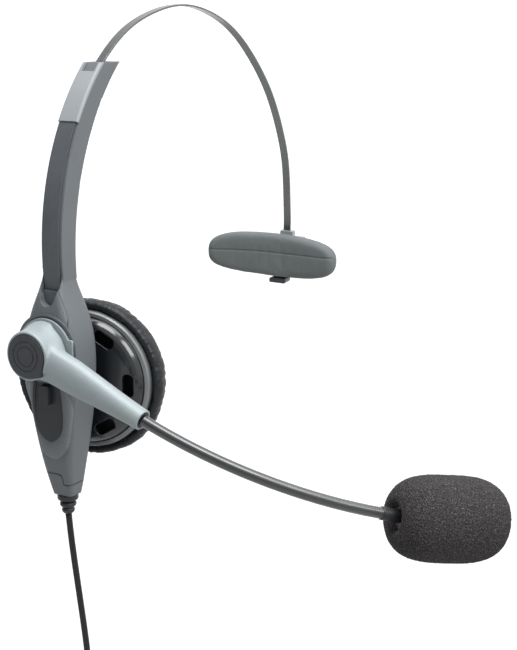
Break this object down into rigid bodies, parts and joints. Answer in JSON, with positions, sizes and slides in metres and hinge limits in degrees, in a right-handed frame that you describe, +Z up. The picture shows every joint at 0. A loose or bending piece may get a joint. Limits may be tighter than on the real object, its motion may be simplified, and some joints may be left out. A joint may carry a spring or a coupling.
{
  "type": "office headset",
  "caption": "Single-ear telephone headset: curved earpiece with a swing-round gooseneck microphone boom, steel headband, temple pad, ear cushion and a quick-release lead.",
  "frame": {"origin": "middle of the ear cushion's face, where the wearer's ear sits", "axes": "+X from the ear across the head towards the temple pad, +Z up over the crown of the head, -Y towards the wearer's front where the microphone points"},
  "size_m": [0.1695, 0.1655, 0.3379],
  "materials": {
    "grey_shell": "fine matte texture",
    "light_cover": "satin",
    "dark_cover": "satin",
    "silver_boom": "satin metallic paint",
    "dark_cap": "satin",
    "steel": "plain",
    "band_steel": "satin",
    "black_plastic": "fine matte texture",
    "holder_plastic": "satin",
    "board": "satin",
    "contacts": "polished",
    "soft_rubber": "matte",
    "cord_jacket": "satin",
    "gooseneck_sleeve": "satin ribbed",
    "ferrule": "polished",
    "foam": "open-cell foam",
    "pad_skin": "soft matte",
    "basket_gloss": "gloss",
    "rim_plastic": "satin",
    "cone": "thin film",
    "grille_cloth": "woven",
    "cushion_skin": "soft wrinkled leatherette"
  },
  "bodies": {
    "earpiece": {"main_shell": "grey_shell", "end_cap": "grey_shell", "arm_upper_cover": "light_cover", "arm_lower_cover": "dark_cover", "housing_cover": "grey_shell", "face_panel": "dark_cover", "boom_stop": "dark_cover", "hub_collar": "grey_shell", "hub_shaft": "steel", "shaft_screw": "steel", "wire_board": "board", "wire_terminals": "contacts", "swivel_post": "black_plastic", "strain_relief": "soft_rubber", "cord_lead": "cord_jacket", "cord_coil": "cord_jacket", "cord_tie": "black_plastic", "cord_tail": "cord_jacket", "plug_boot": "soft_rubber", "plug_body": "black_plastic", "plug_nose": "black_plastic", "plug_contacts": "contacts"},
    "boom": {"boom_hub": "silver_boom", "hub_cap": "dark_cap", "hub_flange": "silver_boom", "gooseneck": "gooseneck_sleeve", "gooseneck_ferrule": "ferrule", "mic_boot": "soft_rubber", "mic_capsule": "black_plastic", "foam_windscreen": "foam"},
    "headband": {"band_strip": "band_steel", "band_stop": "black_plastic", "pad_holder": "holder_plastic", "strip_rivet": "steel"},
    "pad_unit": {"pad_carrier": "holder_plastic", "pad_clip": "holder_plastic", "pad_pin": "steel", "temple_pad": "pad_skin"},
    "cup_gimbal": {"swivel_cross": "black_plastic"},
    "ear_cup": {"basket": "basket_gloss", "basket_rim": "rim_plastic", "driver_magnet": "steel", "driver_frame": "black_plastic", "driver_cone": "cone", "speaker_grille": "grille_cloth", "ear_cushion": "cushion_skin"}
  },
  "joints": [
    {"name": "boom_swing", "type": "hinge", "parent": "earpiece", "child": "boom", "pos_m": [-0.036, -0.00229, 0.0144], "axis": [-1, 0, 0], "range_deg": [-28, 220]},
    {"name": "headband_slide", "type": "hinge", "parent": "earpiece", "child": "headband", "pos_m": [0.0549, -0.00229, 0.0443], "axis": [0, 1, 0], "range_deg": [0, 18]},
    {"name": "temple_pad_tilt", "type": "hinge", "parent": "headband", "child": "pad_unit", "pos_m": [0.12186, -0.00292, 0.0226], "axis": [-0.1734, 0.9835, 0.0523], "range_deg": [-12, 12]},
    {"name": "ear_cup_yaw", "type": "hinge", "parent": "earpiece", "child": "cup_gimbal", "pos_m": [-0.013, -0.00229, 0], "axis": [0, 0, 1], "range_deg": [-20, 2]},
    {"name": "ear_cup_pitch", "type": "hinge", "parent": "cup_gimbal", "child": "ear_cup", "pos_m": [-0.013, -0.00229, 0], "axis": [-0.1736, 0.9848, 0], "range_deg": [-5, 5]}
  ]
}
